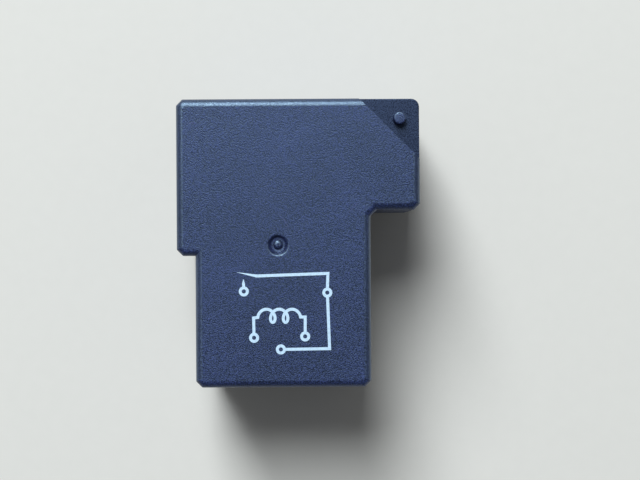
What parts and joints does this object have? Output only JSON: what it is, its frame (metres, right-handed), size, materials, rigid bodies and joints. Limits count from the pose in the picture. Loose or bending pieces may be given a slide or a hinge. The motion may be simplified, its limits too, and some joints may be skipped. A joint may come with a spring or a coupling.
{
  "type": "pcb power relay",
  "caption": "Sealed dark blue plastic power relay with a stepped case, pins for a circuit board and a hinged armature that closes a load contact.",
  "frame": {"origin": "middle of the case outline, on the surface of the board that the rim of the case seats on", "axes": "+X to the contact side, +Y along the case to its wide end, +Z away from the board"},
  "size_m": [0.0274, 0.0324, 0.0235],
  "materials": {
    "case_plastic": "fine sand texture",
    "base_plastic": "moulded",
    "resin": "cast",
    "bobbin_plastic": "moulded",
    "copper_wire": "enamelled",
    "solder": "bright",
    "tinned_pin": "tinned",
    "magnet_iron": "zinc plated",
    "rivet_brass": "bright",
    "spring_copper": "rolled",
    "contact_silver": "satin",
    "terminal_copper": "tinned"
  },
  "bodies": {
    "frame": {"cover": "case_plastic", "base": "base_plastic", "sealing_resin": "resin", "bobbin": "bobbin_plastic", "winding": "copper_wire", "lead_solder_a": "solder", "lead_solder_b": "solder", "coil_pin_a": "tinned_pin", "coil_pin_b": "tinned_pin", "core": "magnet_iron", "yoke": "magnet_iron", "fixed_contact": "contact_silver", "load_terminal": "terminal_copper", "common_terminal": "terminal_copper", "yoke_rivets": "rivet_brass"},
    "armature": {"armature": "magnet_iron", "armature_rivets": "rivet_brass", "movable_spring": "spring_copper", "moving_contact": "contact_silver"}
  },
  "joints": [
    {"name": "armature_swing", "type": "hinge", "parent": "frame", "child": "armature", "pos_m": [-0.01052, 0.0077, 0.01057], "axis": [0, 0, -1], "range_deg": [0, 4.37], "stiffness_Nm_per_rad": 0.02, "springref_deg": -8.59, "deforming": ["movable_spring"]}
  ]
}
